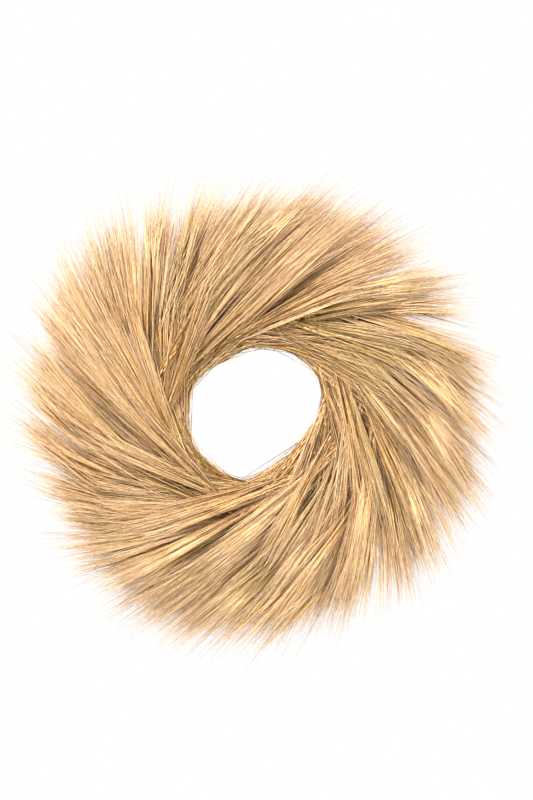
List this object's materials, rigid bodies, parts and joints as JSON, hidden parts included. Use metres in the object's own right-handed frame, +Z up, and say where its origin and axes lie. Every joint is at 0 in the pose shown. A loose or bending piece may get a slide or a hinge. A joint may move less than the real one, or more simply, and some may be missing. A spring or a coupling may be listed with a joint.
{
  "type": "harvest door wreath",
  "caption": "Round door wreath of bearded grain heads swirling clockwise outwards, bound to a wire frame that hangs by a hinged wire bail.",
  "frame": {"origin": "where a door hook bears, under the top of the hanging bail's arch", "axes": "+Y goes into the door along the wreath's axis, +Z up, +X to the right for someone facing the wreath"},
  "size_m": [0.56, 0.0929, 0.56],
  "materials": {
    "grain": "matte",
    "frame_wire": "satin",
    "binding_wire": "satin",
    "tie": "matte",
    "bail_wire": "satin"
  },
  "bodies": {
    "wreath": {"frame_outer_ring": "frame_wire", "frame_outer_middle_ring": "frame_wire", "frame_inner_middle_ring": "frame_wire", "frame_inner_ring": "frame_wire", "frame_brace_01": "frame_wire", "frame_brace_02": "frame_wire", "frame_brace_03": "frame_wire", "frame_brace_04": "frame_wire", "frame_brace_05": "frame_wire", "frame_brace_06": "frame_wire", "binding_wire": "binding_wire", "bunch_ties": "tie", "bunch_01_inner": "grain", "bunch_01_middle": "grain", "bunch_01_outer": "grain", "bunch_02_inner": "grain", "bunch_02_middle": "grain", "bunch_02_outer": "grain", "bunch_03_inner": "grain", "bunch_03_middle": "grain", "bunch_03_outer": "grain", "bunch_04_inner": "grain", "bunch_04_middle": "grain", "bunch_04_outer": "grain", "bunch_05_inner": "grain", "bunch_05_middle": "grain", "bunch_05_outer": "grain", "bunch_06_inner": "grain", "bunch_06_middle": "grain", "bunch_06_outer": "grain", "bunch_07_inner": "grain", "bunch_07_middle": "grain", "bunch_07_outer": "grain", "bunch_08_inner": "grain", "bunch_08_middle": "grain", "bunch_08_outer": "grain", "bunch_09_inner": "grain", "bunch_09_middle": "grain", "bunch_09_outer": "grain", "bunch_10_inner": "grain", "bunch_10_middle": "grain", "bunch_10_outer": "grain", "bunch_11_inner": "grain", "bunch_11_middle": "grain", "bunch_11_outer": "grain", "bunch_12_inner": "grain", "bunch_12_middle": "grain", "bunch_12_outer": "grain"},
    "bail": {"hanging_bail": "bail_wire"}
  },
  "joints": [
    {"name": "bail_fold", "type": "hinge", "parent": "wreath", "child": "bail", "pos_m": [0, 0.00223, -0.03192], "axis": [-1, 0, 0], "range_deg": [0, 173]}
  ]
}
